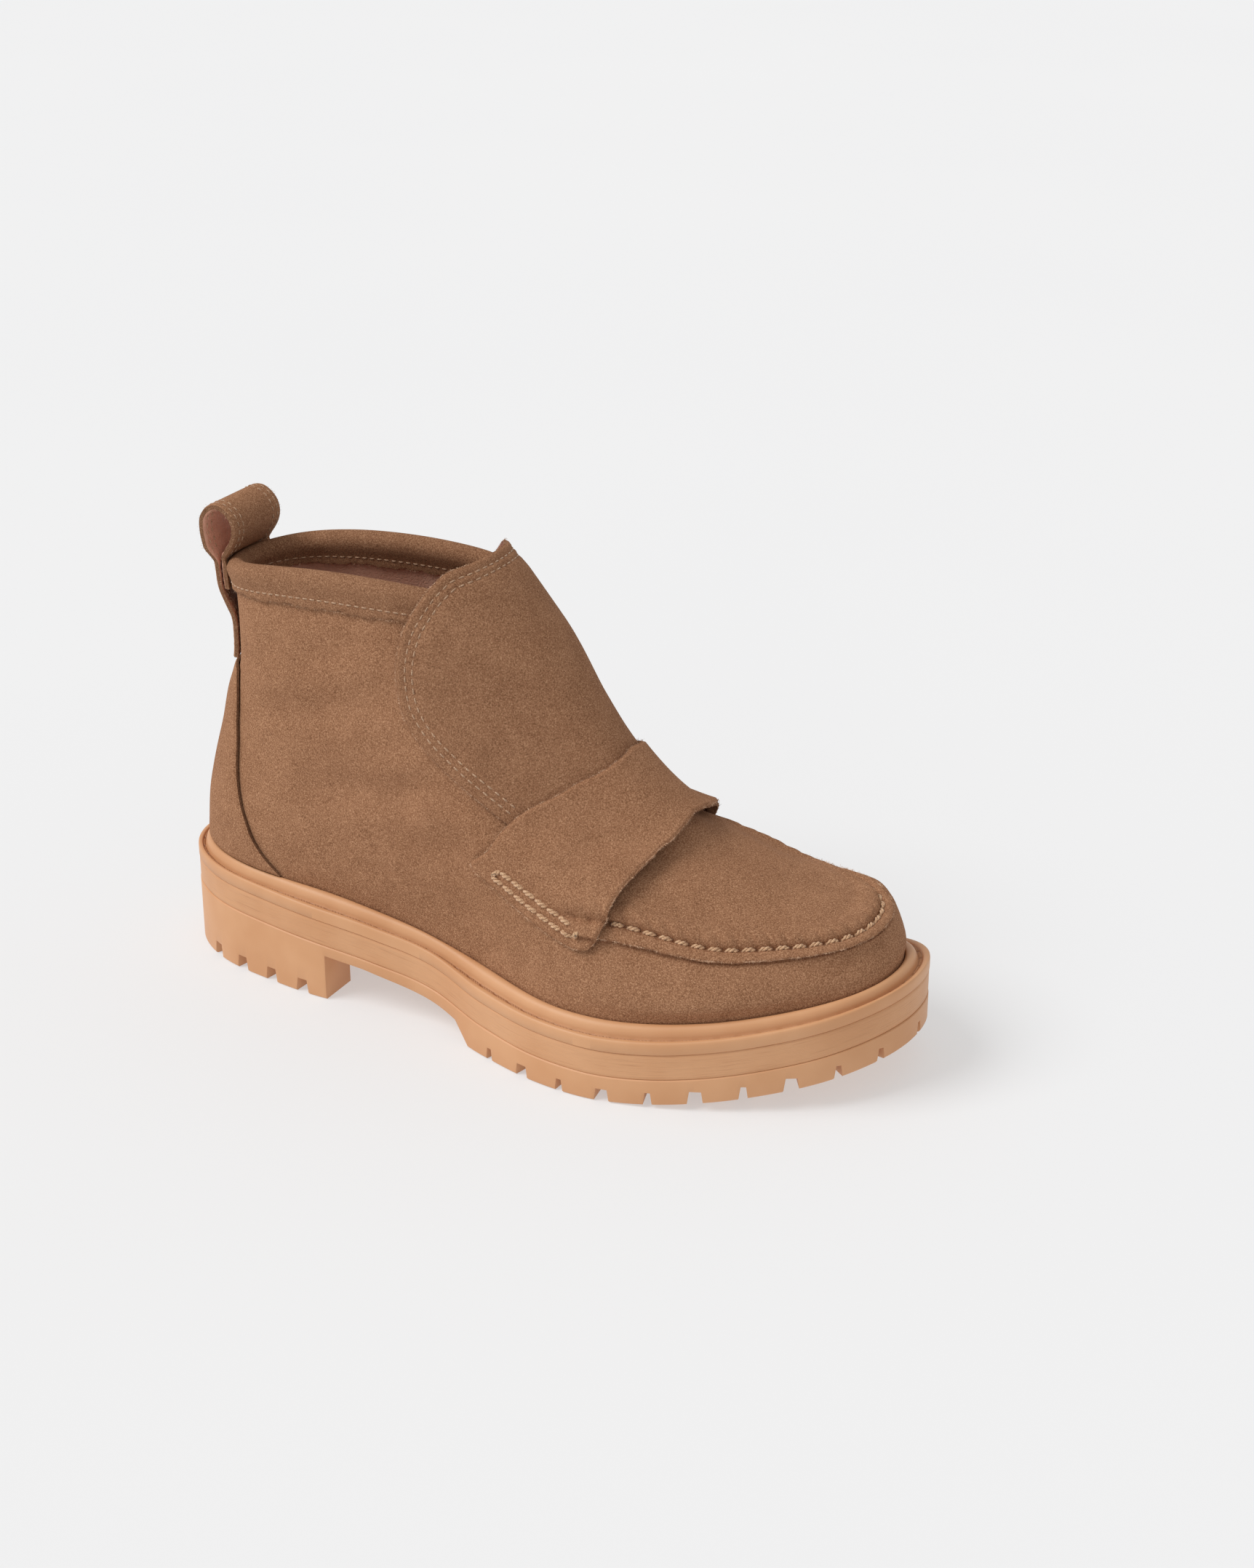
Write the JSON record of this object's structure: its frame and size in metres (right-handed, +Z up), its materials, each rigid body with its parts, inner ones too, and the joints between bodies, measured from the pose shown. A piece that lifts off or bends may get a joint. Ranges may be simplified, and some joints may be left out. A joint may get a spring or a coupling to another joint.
{
  "type": "moccasin ankle boot",
  "caption": "Right ankle-high slip-on moccasin boot: suede upper, saddle strap, oval tongue panel, rear pull loop, thick lugged rubber sole.",
  "frame": {"origin": "middle of the sole's footprint, on the floor", "axes": "+X to the toe, +Y to the wearer's left, which is the inner side of this right foot, +Z up"},
  "size_m": [0.283, 0.107, 0.1706],
  "materials": {
    "outsole_rubber": "honey gum rubber, satin",
    "midsole_rubber": "honey gum rubber with fine level ribs",
    "welt_rubber": "honey gum rubber, moulded stitches in its channel",
    "upper_suede": "brown suede, short nap",
    "insole_leather": "pink-tan smooth lining leather",
    "binding_suede": "brown suede, folded edge",
    "panel_suede": "brown suede, raw edge with double stitching",
    "strap_suede": "brown suede, raw edge",
    "counter_suede": "brown suede, dark raw edge",
    "loop_suede": "brown suede outside, lining leather inside"
  },
  "bodies": {
    "root": {"outsole": "outsole_rubber", "midsole": "midsole_rubber", "welt": "welt_rubber", "upper": "upper_suede", "insole": "insole_leather", "collar_binding": "binding_suede", "tongue_panel": "panel_suede", "saddle_strap": "strap_suede", "heel_counter": "counter_suede", "pull_loop": "loop_suede"}
  },
  "joints": []
}
